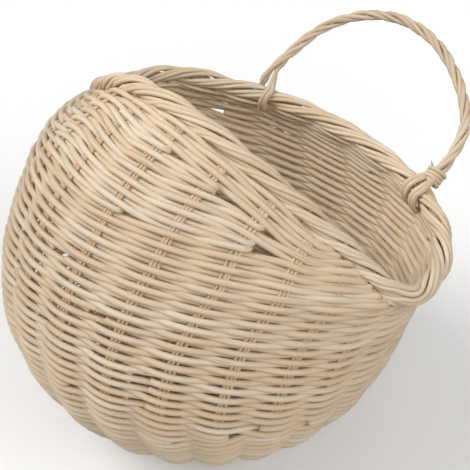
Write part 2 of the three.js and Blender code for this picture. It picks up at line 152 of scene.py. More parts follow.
least_rough = 0.46
most_rough = 0.68
fine = rod_noise((0.25, 9.0, 40.0), 4.0)
patches = rod_noise((0.09, 0.5, 60.0), 3.0)
vessels = ramp(rod_noise((0.5, 14.0, 80.0), 2.0), ((0.63, 0.0), (0.72, 1.0)))
own = ramp(tone.outputs["Fac"], ((0.25, 0.0), (1.0, 1.0)))
worn = ramp(patches, ((0.42, 0.0), (0.7, 1.0)))
colour = mix("MIX", own, given.outputs["Pale"], given.outputs["Warm"])
colour = mix("MIX", worn, colour, given.outputs["Warm"])
shade = mix("MULTIPLY", 1.0, vessels, ramp(fine, ((0.3, 0.25), (0.7, 0.75))))
colour = mix("MIX", shade, colour, given.outputs["Dark"])
link(colour, result.inputs["Color"])
rough = nodes.new("ShaderNodeMapRange")
rough.inputs["To Min"].default_value = least_rough
rough.inputs["To Max"].default_value = most_rough
link(fine, rough.inputs["Value"])
link(rough.outputs[0], result.inputs["Roughness"])
relief = nodes.new("ShaderNodeMath")
relief.operation = "MULTIPLY"
link(fine, relief.inputs[0])
link(given.outputs["Fibre"], relief.inputs[1])
link(relief.outputs[0], result.inputs["Height"])


def cane_material(name, pale, warm, dark, fibre):
    material = bpy.data.materials.new(name)
    material.use_nodes = True
    tree = material.node_tree
    shader = tree.nodes["Principled BSDF"]
    group = tree.nodes.new("ShaderNodeGroup")
    group.node_tree = fibres
    for socket, colour in (("Pale", pale), ("Warm", warm), ("Dark", dark)):
        group.inputs[socket].default_value = (*colour, 1)
    group.inputs["Fibre"].default_value = fibre
    bump = tree.nodes.new("ShaderNodeBump")
    bump.inputs["Strength"].default_value = 0.35
    bump.inputs["Distance"].default_value = 0.0004
    tree.links.new(group.outputs["Color"], shader.inputs["Base Color"])
    tree.links.new(group.outputs["Roughness"], shader.inputs["Roughness"])
    tree.links.new(group.outputs["Height"], bump.inputs["Height"])
    tree.links.new(bump.outputs["Normal"], shader.inputs["Normal"])
    shader.inputs["Specular IOR Level"].default_value = 0.35
    return material


weaver_cane = cane_material(
    "weaver cane", pale=(0.74, 0.635, 0.495), warm=(0.66, 0.51, 0.345), dark=(0.37, 0.24, 0.13), fibre=0.5
)
stake_cane = cane_material(
    "stake cane", pale=(0.70, 0.56, 0.40), warm=(0.62, 0.455, 0.29), dark=(0.35, 0.22, 0.12), fibre=0.5
)
border_cane = cane_material(
    "border cane", pale=(0.73, 0.62, 0.475), warm=(0.63, 0.49, 0.33), dark=(0.35, 0.22, 0.12), fibre=0.5
)
handle_cane = cane_material(
    "handle cane", pale=(0.725, 0.615, 0.465), warm=(0.63, 0.49, 0.34), dark=(0.34, 0.21, 0.12), fibre=0.5
)

luck = np.random.default_rng(11)


def eased(part):
    part = np.clip(part, 0, 1)
    return part**2 * (3 - 2 * part)


# The basket was pulled a little out of true: its far corner stands higher than the near one
pull_start_aside = 78
pull_aside = 44
pull_start_height = 100
pull_height = 42
pull_lift = 6.0


def pulled(line):
    aside = eased((-line[:, 0] - pull_start_aside) / pull_aside)
    high = eased((line[:, 2] - pull_start_height) / pull_height)
    return line + np.array((0.0, 0.0, pull_lift)) * (aside * high)[:, None]


# A rod is its middle line in mm, a direction across it at each point, its radius, and whether it is a ring.
# Its UV map runs along and round it in units of a centimetre, and its ends have a small round patch there.
uv_unit = 10
uv_end = 0.1


def lay_rods(name, rods, sides, material):
    places, faces, uvs, tones = [], [], [], []
    count = 0
    turn = 2 * math.pi * np.arange(sides) / sides
    end_uv = np.stack((np.cos(turn), np.sin(turn)), -1) * uv_end
    for line, across, radius, ring in rods:
        line = pulled(np.asarray(line, float))
        size = len(line)
        if ring:
            way = np.roll(line, -1, axis=0) - np.roll(line, 1, axis=0)
        else:
            way = np.gradient(line, axis=0)
        way /= np.linalg.norm(way, axis=1)[:, None]
        across = across - way * np.sum(across * way, axis=1)[:, None]
        across /= np.linalg.norm(across, axis=1)[:, None]
        other = np.cross(way, across)
        radius = np.broadcast_to(radius, (size,))
        spokes = across[:, None] * np.cos(turn)[:, None] + other[:, None] * np.sin(turn)[:, None]
        places.append((line[:, None] + spokes * radius[:, None, None]).reshape(-1, 3))
        steps = np.linalg.norm(np.diff(line, axis=0, append=line[:1]), axis=1)
        length = np.concatenate(([0], np.cumsum(steps))) / uv_unit
        last = size if ring else size - 1
        i, j = np.meshgrid(np.arange(last), np.arange(sides), indexing="ij")
        k = (i + 1) % size
        m = (j + 1) % sides
        quads = np.stack((i * sides + j, i * sides + m, k * sides + m, k * sides + j), axis=-1) + count
        faces.extend(quads.reshape(-1, 4).tolist())
        start = luck.uniform(0, 50)
        width = 2 * math.pi * float(np.mean(radius)) / uv_unit
        u = length[i] + start
        after = length[i + 1] + start
        v = j / sides * width
        beside = (j + 1) / sides * width
        corners = np.stack(
            (
                np.stack((u, v), -1),
                np.stack((u, beside), -1),
                np.stack((after, beside), -1),
                np.stack((after, v), -1),
            ),
            axis=2,
        )
        uvs.append(corners.reshape(-1, 2))
        if not ring:
            faces.append([count + s for s in range(sides - 1, -1, -1)])
            faces.append([count + (size - 1) * sides + s for s in range(sides)])
            uvs.append(end_uv[::-1])
            uvs.append(end_uv)
        tones.append(np.full(size * sides, luck.uniform()))
        count += size * sides
    mesh = bpy.data.meshes.new(name)
    mesh.from_pydata((np.concatenate(places) / 1000).tolist(), [], faces)
    layer = mesh.uv_layers.new(name="along")
    layer.data.foreach_set("uv", np.concatenate(uvs).ravel())
    tone_layer = mesh.attributes.new("tone", "FLOAT", "POINT")
    tone_layer.data.foreach_set("value", np.concatenate(tones))
    mesh.shade_smooth()
    mesh.materials.append(material)
    piece = bpy.data.objects.new(name, mesh)
    bpy.context.scene.collection.objects.link(piece)
    return piece


# Wall weavers
# Round canes woven over one stake and under the next. The lower rows are level rings; higher up they tilt
# and stretch out to the corners of the mouth, and above the corners they fan out up the hood and up the
# back, where shorter rows turn back round a stake.
ball_radius = 115.5
lower_half = 0.94
wall_start_radius = 60.0
mouth_half_width = 130.0
corner = np.array((0.0, 18.0, 41.0))
mouth_back_depth = 85.0
hood_tilt = math.radians(60.5)
corner_tilt = math.radians(15)
back_tilt = math.radians(-4.5)
stakes = 24

# A share is the part of the way round, from the +X corner over the hood to the -X corner, then the back
hood_middle = 0.25
back_middle = 0.75

# How pointed a row is at the corners, in front and behind, where the rings end and at the rim, and the
# share to both sides of a corner over which it is rounded off
corner_rounding = 1 / 36
ring_point = (1.5, 0.92)
rim_point = (2.35, 0.82)
flare_bend = 1.9
rim_crowding = 0.035
half_row_points = 181


def ahead(tilt):
    return np.array((0.0, -math.cos(tilt), math.sin(tilt)))


def upright(tilt):
    return np.array((0.0, math.sin(tilt), math.cos(tilt)))


def half_row(middle, tilt, half_width, depth, power, front):
    turn = np.linspace(0, math.pi, half_row_points) + (0 if front else math.pi)
    reach = depth * np.abs(np.sin(turn)) ** power * (1 if front else -1)
    points = middle + reach[:, None] * ahead(tilt)
    points[:, 0] = half_width * np.cos(turn)
    lengths = np.concatenate(([0], np.cumsum(np.linalg.norm(np.diff(points, axis=0), axis=1))))
    return points, lengths


# The angles of the rings are measured from the top of the ball
corner_ring = math.acos(corner @ upright(corner_tilt) / ball_radius) - corner_tilt
first_ring = math.pi - math.asin(wall_start_radius / ball_radius)
level_until = math.radians(110)
flare_from = math.radians(104)


def ring_row(angle):
    rise = min(max((level_until - angle) / (level_until - corner_ring), 0), 1)
    flare = min(max((flare_from - angle) / (flare_from - corner_ring), 0), 1) ** flare_bend
    tilt = corner_tilt * rise
    height = ball_radius * math.cos(angle + tilt)
    radius = math.sqrt(ball_radius**2 - height**2)
    centre = upright(tilt) * height
    shift = flare * (corner - centre) @ ahead(tilt)
    middle = centre + ahead(tilt) * shift
    wide = radius + flare * (mouth_half_width - radius)
    crowding = rim_crowding * flare
    powers = [1 + flare * (power - 1) for power in ring_point]
    front = half_row(middle, tilt, wide, radius - shift, powers[0], front=True)
    back = half_row(middle, tilt, wide, radius + shift, powers[1], front=False)
    return front, back, crowding


def fan_row(part):
    hood = corner_tilt + part * (hood_tilt - corner_tilt)
    rear = corner_tilt + part * (back_tilt - corner_tilt)
    along = corner @ ahead(hood)
    depth = -along + math.sqrt(along**2 + ball_radius**2 - corner @ corner)
    last_ring_back = on_row(ring_row(corner_ring), np.array((back_middle,)))[0]
    deep = np.linalg.norm(corner - last_ring_back)
    powers = [a + part * (b - a) for a, b in zip(ring_point, rim_point)]
    front = half_row(corner, hood, mouth_half_width, depth, powers[0], front=True)
    back_depth = deep + part * (mouth_back_depth - deep)
    back = half_row(corner, rear, mouth_half_width, back_depth, powers[1], front=False)
    return front, back, rim_crowding


def on_sharp_row(row, share):
    front, back, crowding = row
    turn = share % 1.0
    ahead_half = turn < 0.5
    part = np.where(ahead_half, turn, turn - 0.5) * 2
    part = part - crowding * np.sin(2 * math.pi * part)
    found = []
    for points, lengths in (front, back):
        at = part * lengths[-1]
        found.append(np.stack([np.interp(at, lengths, points[:, axis]) for axis in range(3)], axis=-1))
    return np.where(ahead_half[:, None], found[0], found[1])


def on_row(row, share):
    nearest = np.round(2 * share) / 2
    past = (share - nearest) / corner_rounding
    part = ((past + 1) / 2)[:, None]
    rounded = (
        on_sharp_row(row, nearest - corner_rounding) * (1 - part) ** 2
        + on_sharp_row(row, nearest) * 2 * part * (1 - part)
        + on_sharp_row(row, nearest + corner_rounding) * part**2
    )
    return np.where((np.abs(past) < 1)[:, None], rounded, on_sharp_row(row, share))


# The wall's form, as points for each share and level, and the climb, which is the way up the wall in mm
share_steps = 576
ring_steps = 60
fan_steps = 40
shares = np.arange(share_steps) / share_steps
levels = [ring_row(angle) for angle in np.linspace(first_ring, corner_ring, ring_steps + 1)]
levels += [fan_row(part) for part in np.linspace(0, 1, fan_steps + 1)[1:]]
wall = np.array([on_row(row, shares) for row in levels])
wall[..., 2] = ball_height + np.where(wall[..., 2] < 0, lower_half, 1.0) * wall[..., 2]
climbed = np.cumsum(np.linalg.norm(np.diff(wall, axis=0), axis=2), axis=0)
climb = np.concatenate((np.zeros((1, share_steps)), climbed))
total = climb[-1]

# The same form at even heights, with the ways up and out of the wall at each point
height_steps = 240
up_span = 5
side_span = 4
heights = np.linspace(0, 1, height_steps + 1)
skin = np.zeros((share_steps, height_steps + 1, 3))
for s in range(share_steps):
    for axis in range(3):
        skin[s, :, axis] = np.interp(heights * total[s], climb[:, s], wall[:, s, axis])
skin_up = np.zeros_like(skin)
for h in range(height_steps + 1):
    skin_up[:, h] = skin[:, min(h + up_span, height_steps)] - skin[:, max(h - up_span, 0)]
skin_up /= np.linalg.norm(skin_up, axis=2)[..., None]
skin_out = np.cross(skin_up, np.roll(skin, -side_span, axis=0) - np.roll(skin, side_span, axis=0))
skin_out /= np.linalg.norm(skin_out, axis=2)[..., None]


def read(grid, share, height):
    s = (np.asarray(share) % 1.0) * share_steps
    h = np.clip(height, 0, 1) * (grid.shape[1] - 1)
    s0 = np.floor(s).astype(int) % share_steps
    s1 = (s0 + 1) % share_steps
    h0 = np.minimum(np.floor(h).astype(int), grid.shape[1] - 2)
    fs = (s - np.floor(s))[..., None]
    fh = (h - h0)[..., None]
    low = grid[s0, h0] * (1 - fs) + grid[s1, h0] * fs
    high = grid[s0, h0 + 1] * (1 - fs) + grid[s1, h0 + 1] * fs
    return low * (1 - fh) + high * fh


# The value at any share of something known at all the shares
def all_round(share, values):
    return np.interp(np.asarray(share) % 1.0, np.append(shares, 1), np.append(values, values[0]))


def whole(share):
    return all_round(share, total)


def on_wall(share, distance):
    length = whole(share)
    height = distance / length
    point = read(skin, share, height)
    up = read(skin_up, share, height)
    out = read(skin_out, share, height)
    over = distance - np.clip(distance, 0, length)
    return point + up * over[..., None], up, out


def row_climb(level, share):
    at = np.clip(level, 0, ring_steps + fan_steps)
    low = int(min(math.floor(at), ring_steps + fan_steps - 1))
    return all_round(share, climb[low] * (1 - (at - low)) + climb[low + 1] * (at - low))


# The strands of the border lie border_circle away from its middle line, and the wall's rows a pitch apart
border_circle = 3.95
border_rod_radius = 1.38
border_radius = border_circle + border_rod_radius
weaver_radius = 1.66
stake_radius = 0.95
pitch = 2.85
tightest_pitch = 0.9 * pitch
level_rows = 11
tilting_rings = 5
tilted_rings = 30

# A row is worked out at twelve samples to a stake
stake_samples = 12
samples = stakes * stake_samples
row_share = np.arange(samples) / samples

# The last rows end just inside the border, and lower down towards the corners, where the rim is pinched
corner_reach = math.sin(math.pi / 6)
corner_drop = 5
border_overlap = 0.6
near_corner = np.clip(1 - np.abs(np.sin(2 * math.pi * row_share)) / corner_reach, 0, 1)
top = whole(row_share) - border_radius - weaver_radius + border_overlap - corner_drop * near_corner**2

# Short rows turn back a twelfth past a stake, and give up their room over almost two stakes. A reach of
# tucked means that the row runs on to the corner.
turn_at = 1 / 12
closing_span = 1.7
tucked = 99


def past(middle):
    return (row_share - middle + 0.5) % 1.0 - 0.5


def about(middle):
    return np.abs(past(middle))


def fitting_pairs(room, middle, rings, open_from, spare):
    # The stakes, counted from the middle of the hood or the back, at which pairs of short rows turn back.
    # Those that get as far as open_from run on to the corner and end under the border.
    counts = []
    for reach in range(stakes // 2):
        here = round((middle * stakes + reach + 0.5) * stake_samples) % samples
        counts.append(max(round((room[here] / pitch - 1 - rings) / 2 + spare), 0))
    counts = np.minimum.accumulate(counts)
    reaches = [int(np.flatnonzero(counts > n).max()) for n in range(counts[0])]
    return [tucked if reach >= open_from else reach for reach in reaches]


rows = []


def fill(low, high, items, parity, near=None):
    # Rows from one climb up to another, spread evenly. An item is None for a single row, or a pair of short
    # rows: the middle that it lies about, and the stakes to both sides at which it turns back.
    weights = []
    for item in items:
        if item is None:
            weights.append(np.ones(samples))
            continue
        middle, left, right = item
        reach = np.where(past(middle) < 0, left, right) + 0.5 + turn_at
        weight = eased((reach + closing_span / 2 - about(middle) * stakes) / closing_span)
        weights += [weight, weight]
    step = (high - low) / sum(weights)
    if near is not None:
        step = np.maximum(step, tightest_pitch)
    at = low
    before = 1
    sides = [(item, side) for item in items for side in range(1 if item is None else 2)]
    for (item, side), weight in zip(sides, weights):
        at = at + step * (before + weight) / 2
        before = weight
        parity = 1 - parity
        rows.append({"climb": at, "parity": parity, "pair": item, "side": side, "near": near})
    return parity


def mixed(rings, pairs):
    # Short pairs spread among the rings, the longest of them low down
    pairs = sorted(pairs, key=lambda pair: -pair[1] - luck.uniform(0, 5))
    items = [None] * rings
    for n, pair in enumerate(pairs):
        items.insert(round((n + 0.5) / len(pairs) * rings) + n, pair)
    return items


def shuffled(values):
    return [values[n] for n in luck.permutation(len(values))]


start_curve = row_climb(0, row_share) + 1.0
level_curve = start_curve + pitch * (level_rows - 1)
corner_curve = row_climb(ring_steps, row_share)

# Above the level rows, short rows under the hood tilt the work: a sloping plane cuts the wall a few rows
# further up at the back, and many rows further up under the hood
slope = (skin - np.array((0, 0, ball_height))) @ upright(corner_tilt)
behind = int(back_middle * share_steps)
low_at_back = 0.275
cut = np.interp(low_at_back, heights, slope[behind])
tilted_curve = np.array(
    [
        np.interp(cut, slope[n], heights * total[n])
        for n in range(0, share_steps, share_steps // samples)
    ]
)
rows.append({"climb": start_curve, "parity": 0, "pair": None, "side": 0, "near": None})
parity = 0
for low, high, rings in (
    (start_curve, level_curve, level_rows - 2),
    (level_curve, tilted_curve, tilting_rings - 1),
    (tilted_curve, corner_curve, tilted_rings - 1),
):
    reaches = fitting_pairs(high - low, hood_middle, rings, open_from=stakes // 2, spare=0.0)
    pairs = [(hood_middle, reach, max(reach - int(luck.integers(0, 2)), 0)) for reach in reaches]
    parity = fill(low, high, mixed(rings, pairs) + [None], parity)
for middle in (hood_middle, back_middle):
    near = about(middle) < 0.25
    room = np.where(near, top - corner_curve, 0)
    left = shuffled(fitting_pairs(room, middle, rings=0, open_from=3, spare=0.1))
    right = shuffled(fitting_pairs(room, middle, rings=0, open_from=3, spare=0.1))
    pairs = [(middle, a, b) for a, b in zip(left, right)]
    fill(corner_curve, np.maximum(top, corner_curve), pairs + [None], parity, near)

# These go from 0 beside the back or the hood to 1 at its middle
at_back = np.clip(1.5 - about(back_middle) * 4, 0, 1)
at_hood = np.clip(1.5 - about(hood_middle) * 4, 0, 1)

# How far a weaver swings out over the stakes and in behind them: further where they stand far apart, and
# less high up and at the back
least_swing = 0.5
swing_by_width = 0.062
swing_lost_high = 0.9
swing_lost_behind = 0.6


def ripple(share, high):
    # The wall stands out a little at each stake and is drawn in between them, more so low down
    return np.clip(1.0 - 1.4 * high, 0.1, 0.8) * np.cos(2 * math.pi * (share * stakes - 0.5))


def over_and_under(groups, odd):
    # From 1, outside a stake, to -1, behind the next one
    return np.cos(math.pi * (row_share * groups - 0.5)) * (1 if odd else -1)


def wander(most, waves):
    # Small uneven waves round a row
    return sum(
        luck.uniform(-most, most) * np.sin(2 * math.pi * (n * row_share + luck.uniform())) for n in waves
    )


def weave(row):
    here = on_wall(row_share, row["climb"])[0]
    half = stake_samples // 2
    width = np.linalg.norm(np.roll(here, -half, axis=0) - np.roll(here, half, axis=0), axis=1)
    high = np.clip(row["climb"] / whole(row_share), 0, 1)
    swing = least_swing + swing_by_width * width - swing_lost_high * high - swing_lost_behind * at_back
    beat = over_and_under(stakes, row["parity"])
    # It bends more softly over a stake than it crosses between two
    beat = beat * (1.2 - 0.2 * beat**2)
    drift = wander(most=0.13, waves=(2, 5, 9, 16))
    push = wander(most=0.12, waves=(7, 12, 23))
    return row["climb"] + drift, swing * beat + push + ripple(row_share, high)


def reach_of(allowed, middle, side, stakes_away):
    # Samples from the middle to where a short row turns back or goes under the border
    limit = samples if stakes_away == tucked else round((stakes_away + 0.5 + turn_at) * stake_samples)
    start = round(middle * samples)
    steps = 0
    while steps < limit and allowed[(start + side * (steps + 1)) % samples]:
        steps += 1
    return steps


def turn_back(going, coming, sense):
    # Round a stake, from the end of one short row to the start of the next
    bend = np.linspace(0, math.pi, 7)[1:-1]
    bulge = 2.4
    nearby = 0.01
    distance = going[0][-1] + (coming[0][0] - going[0][-1]) * (1 - np.cos(bend)) / 2
    offset = going[1][-1] + (coming[1][0] - going[1][-1]) * (1 - np.cos(bend)) / 2
    here = on_wall(going[2][-1:], distance[:1])[0]
    girth = np.linalg.norm(here - on_wall(going[2][-1:] + nearby, distance[:1])[0]) / nearby
    return distance, offset, going[2][-1] + sense * np.sin(bend) * bulge / girth


# The rows at the back are pressed together harder, and those of the hood a little
fuller_at_back = 0.14
fuller_at_hood = 0.05


def laid(track, radius, ring):
    distance, offset, share = track
    point, up, out = on_wall(share, distance)
    fuller = fuller_at_back * at_back + fuller_at_hood * at_hood
    radius = radius * (1 + np.interp(share % 1.0, row_share, fuller))
    return point + out * offset[:, None], out, radius, ring


def joined(*parts):
    return tuple(np.concatenate([part[n] for part in parts]) for n in range(3))


def stretch_of(distance, offset, index):
    # Part of a row, which may run on past its first sample
    return distance[index % samples], offset[index % samples], index / samples


# Rows run on tuck_depth under the border before they end, and stretches of a few samples aren't laid. Of
# the full rows, broken_part have two ends instead of one closed ring.
tuck_depth = 3.2
shortest_stretch = 8
broken_part = 0.4
well_outside = 2.0
past_stake = 9
lower_rods, middle_rods, upper_rods = [], [], []
first_side = None
up_the_wall = 0.0
for row in rows:
    distance, offset = weave(row)
    radius = weaver_radius * luck.uniform(0.93, 1.05)
    if row["pair"] is None:
        up_the_wall = np.mean(row["climb"] / whole(row_share))
    if row["near"] is not None:
        store = upper_rods
    else:
        store = lower_rods if up_the_wall < 1 / 3 else middle_rods
    allowed = row["climb"] <= top + tuck_depth
    if row["near"] is not None:
        allowed &= row["near"]
    if row["pair"] is not None:
        middle, left, right = row["pair"]
        first = round(middle * samples) - reach_of(allowed, middle, -1, left)
        last = round(middle * samples) + reach_of(allowed, middle, 1, right)
        track = stretch_of(distance, offset, np.arange(first, last + 1))
        if row["side"] == 0:
            first_side = track
            continue
        back = tuple(v[::-1] for v in track)
        if left == tucked and right == tucked:
            store += [laid(first_side, radius, ring=False), laid(back, radius, ring=False)]
            continue
        far_bend = turn_back(first_side, back, sense=1)
        near_bend = turn_back(back, first_side, sense=-1)
        if left == tucked:
            store.append(laid(joined(first_side, far_bend, back), radius, ring=False))
        elif right == tucked:
            store.append(laid(joined(back, near_bend, first_side), radius, ring=False))
        else:
            store.append(laid(joined(first_side, far_bend, back, near_bend), radius, ring=True))
        continue
    if allowed.all():
        if luck.uniform() < broken_part:
            # One cane ends on the outside, just past a stake, and the next starts behind the stake after it
            over = np.flatnonzero(offset > well_outside)
            end = over[luck.integers(len(over))] // stake_samples * stake_samples + past_stake
            index = end - np.arange(samples - 3)[::-1]
            store.append(laid(stretch_of(distance, offset, index), radius, ring=False))
        else:
            store.append(laid((distance, offset, row_share), radius, ring=True))
        continue
    for begin in np.flatnonzero(allowed & ~np.roll(allowed, 1)):
        run = 0
        while allowed[(begin + run) % samples] and run < samples:
            run += 1
        if run > shortest_stretch:
            index = begin + np.arange(run)
            store.append(laid(stretch_of(distance, offset, index), radius, ring=False))

for name, node, rods in (
    ("weavers_lower", "wall_lower", lower_rods),
    ("weavers_middle", "wall_middle", middle_rods),
    ("weavers_upper", "wall_upper", upper_rods),
):
    piece = lay_rods(name, rods, sides=8, material=weaver_cane)
    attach(piece, "root")
    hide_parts(node)

# Base
# Two layers of sticks cross in the middle. Thin weavers go round them in pairs of stakes, then thicker ones
# go on round every stake, over the flat foot to the turn of the wall. The middle is lifted a little.
base_thickness = 8.0
base_dome = 3.0
foot_inner = 41.0
foot_outer = 52.0
edge_rise = 5.0
edge_lean = 0.35


def on_base(share, radius):
    angle = 2 * math.pi * share
    lift = base_dome * np.clip((foot_inner - radius) / foot_inner, 0, 1)
    rise = edge_rise * np.clip((radius - foot_outer) / (wall_start_radius - foot_outer), 0, 1) ** 2
    height = base_thickness / 2 + lift + rise
    lean = edge_lean * (rise > 0)
    zero = np.zeros_like(angle)
    point = np.stack((radius * np.cos(angle), -radius * np.sin(angle), height + zero), axis=-1)
    out = np.stack((lean * np.cos(angle), -lean * np.sin(angle), -1 + zero), axis=-1)
    return point, out / np.linalg.norm(out, axis=1)[:, None]


thin_rings = np.arange(14.2, 27.5, 2.2)
thin_radius = 1.1
thin_swing = 2.1

# The last rings lie closer, as the base turns up there
base_rings = np.append(np.arange(29.6, 54.0, 2.7), (56.3, 58.6))
base_weaver_radius = 1.45
base_swing = 2.45
base_rods = []
for n, radius in enumerate(thin_rings):
    beat = over_and_under(stakes // 2, n % 2)
    point, out = on_base(row_share, np.full(samples, radius) + luck.uniform(-0.1, 0.1, 1))
    base_rods.append((point + out * (beat * thin_swing)[:, None], out, thin_radius, True))
for n, radius in enumerate(base_rings):
    beat = over_and_under(stakes, n % 2)
    drift = 0.2 * np.sin(2 * math.pi * (5 * row_share + luck.uniform()))
    point, out = on_base(row_share, radius + drift)
    base_rods.append((point + out * (beat * base_swing)[:, None], out, base_weaver_radius, True))
base_weavers = lay_rods("base_weavers", base_rods, sides=8, material=weaver_cane)
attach(base_weavers, "root")
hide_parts("base_weave")

cross_sticks = 5
stick_pitch = 3.9
stick_points = 9
stick_radius = 1.9
stick_reach = 11
length = np.linspace(-stick_reach, stick_reach, stick_points)
for name, node, lift in (
    ("cross_sticks_lower", "base_cross_lower", -2.1),
    ("cross_sticks_upper", "base_cross_upper", 2.1),
):
    sticks = []
    for n in range(cross_sticks):
        beside = np.full(stick_points, (n - (cross_sticks - 1) / 2) * stick_pitch)
        height = np.full(stick_points, base_thickness / 2 + base_dome + lift)
        line = np.stack((beside, length, height) if lift < 0 else (length, beside, height), axis=-1)
        across = np.tile((0.0, 0.0, 1.0), (stick_points, 1))
        sticks.append((line, across, stick_radius * luck.uniform(0.95, 1.02), False))
    piece = lay_rods(name, sticks, sides=10, material=stake_cane)
    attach(piece, "root")
    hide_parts(node)

# Stakes and border
# Each stake is a flat row of thin rods that runs up through the weave. At the rim the rods of each stake
# turn to the right, pass inside the next stake, come out below the border, run along its outside, over its
# top and down inside, past three more stakes, and are tucked in.
border_out = 2.5
stake_share = (np.arange(stakes) + 0.5) / stakes
rim_points, rim_up, rim_out = on_wall(stake_share, whole(stake_share))
rim_points = rim_points + rim_out * border_out
fine_steps = 20


def smooth(points, steps, ring=False):
    # A curve through the points, with this many steps between two of them
    points = np.asarray(points, float)
    size = len(points)
    spans = size if ring else size - 1
    at = np.arange(spans * steps + (0 if ring else 1)) / steps
    low = np.minimum(np.floor(at).astype(int), spans - 1)
    t = (at - low)[:, None]

    def pick(n):
        return points[n % size] if ring else points[np.clip(n, 0, size - 1)]

    a, b, c, d = pick(low - 1), pick(low), pick(low + 1), pick(low + 2)
    return 0.5 * (2 * b + (c - a) * t + (2 * a - 5 * b + 4 * c - d) * t**2 + (3 * b - a - 3 * c + d) * t**3)


rim_line = smooth(rim_points, fine_steps, ring=True)
rim_ups = smooth(rim_up, fine_steps, ring=True)
rim_way = np.roll(rim_line, -1, axis=0) - np.roll(rim_line, 1, axis=0)
rim_way /= np.linalg.norm(rim_way, axis=1)[:, None]
rim_ups -= rim_way * np.sum(rim_ups * rim_way, axis=1)[:, None]
rim_ups /= np.linalg.norm(rim_ups, axis=1)[:, None]
rim_outs = np.cross(rim_ups, rim_way)


def on_rim(share):
    at = ((np.asarray(share) - stake_share[0]) % 1.0) * stakes * fine_steps
    low = np.floor(at).astype(int) % len(rim_line)
    high = (low + 1) % len(rim_line)
    t = (at - np.floor(at))[..., None]
    return tuple(v[low] * (1 - t) + v[high] * t for v in (rim_line, rim_ups, rim_outs))


rods_in_stake = 3
rod_pitch = 1.95
wall_points = 60
hood_proud = 0.3

# From the stake to the underside of the border: stakes passed, and how far above and outside its middle
# line the rods lie, with what the two outer rods of a stake add to this or take off it
stakes_passed = np.array((0.1, 0.4, 0.8, 1.12))
way_above = np.array((-6.1, -5.0, -4.4, -4.4))
way_outside = np.array((-2.5, -4.0, -4.4, -2.4))
more_passed = 0.1
more_above = np.array((0, -0.5, -0.3, 0))
more_outside = np.array((0, 0.6, 1.0, 1.6))

# Round the border: where a rod starts and ends, how far it bulges, and how deep its end is tucked in
wrap_start = 1.4
wrap_span = 3
wrap_turn = np.linspace(math.radians(10), math.radians(440), 20)
wrapped = np.clip((wrap_turn - wrap_turn[0]) / math.radians(308), 0, 1)
tucked_in = np.clip((wrap_turn - math.radians(318)) / math.radians(50), 0, 1)
wrap_bulge = 1.0
wrap_drawn_in = 0.6
wrap_uneven = 0.22
tucked_circle = 1.3
rod_lead = math.radians(31)
rod_share_apart = 0.0018
middle_rod_out = 0.5
outer_rods_out = -0.2

# The rods' way over the base, from the cross to the wall, where they lie closer near the middle
base_run = np.linspace(29, 58, 12)
narrow = np.clip(base_run / foot_outer, 0.5, 1)
for k in range(stakes):
    share = stake_share[k]
    rods = []
    for m in range(rods_in_stake):
        side = (m - (rods_in_stake - 1) / 2) * rod_pitch
        line, out = on_base(share + side * narrow / (2 * math.pi * base_run), base_run)
        climb_up = np.linspace(2, whole(share) - border_radius - 2, wall_points)
        point, up, out_up = on_wall(np.full(wall_points, share), climb_up)
        beside = np.cross(out_up, up)
        uneven = 0.25 * np.sin(climb_up / luck.uniform(9, 20) + luck.uniform(0, 6))
        point = point + beside * (side + uneven)[:, None]
        high = climb_up / whole(share)
        point = point + out_up * (ripple(share, high) + hood_proud * high * (share < 0.5))[:, None]
        line = np.concatenate((line, point))
        out = np.concatenate((out, out_up))
        rods.append((line, out, stake_radius * luck.uniform(0.92, 1.04), False))
    piece = lay_rods(f"stake_rods_{k + 1:02d}", rods, sides=8, material=stake_cane)

    rods = []
    for m in range(rods_in_stake):
        outer = m - 1
        rod_share = share + outer * rod_share_apart
        start = whole(rod_share) - border_radius
        below = start - np.array((12, 7, 2.5))
        low, _, low_out = on_wall(np.full(3, rod_share), below)
        centre, up, out = on_rim(share - (stakes_passed + more_passed * outer) / stakes)
        rise = way_above + outer * more_above
        reach = way_outside + outer * more_outside
        under = centre + up * rise[:, None] + out * reach[:, None]
        waves = np.sin(wrap_turn * luck.uniform(1.2, 2.4) + luck.uniform(0, 6))
        circle = border_circle + wrap_uneven * waves + (outer_rods_out if outer else middle_rod_out)
        circle = circle + wrap_bulge * np.sin(wrapped * math.pi) - wrap_drawn_in
        circle = circle + (tucked_circle - circle) * tucked_in
        centre, up, out = on_rim(share - (wrap_start + wrap_turn / (2 * math.pi) * wrap_span) / stakes)
        angle = wrap_turn + rod_lead * outer + luck.uniform(-0.05, 0.05)
        spokes = out * (circle * np.sin(angle))[:, None] - up * (circle * np.cos(angle))[:, None]
        first_spokes = np.repeat(spokes[:1], len(under), axis=0)
        line = smooth(np.concatenate((low, under, centre + spokes)), steps=4)
        across = smooth(np.concatenate((low_out, first_spokes, spokes)), steps=4)
        # Thin where it leaves the wall, and thicker once it is under the border
        thick = border_rod_radius * luck.uniform(0.95, 1.06)
        radius = np.interp(np.arange(len(line)), (0, 12, 26), (stake_radius, 1.1, thick))
        rods.append((line, across, radius, False))
    ends = lay_rods(f"stake_ends_{k + 1:02d}", rods, sides=8, material=border_cane)
    for part in (piece, ends):
        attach(part, "root")
        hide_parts(f"stake_{k + 1:02d}")

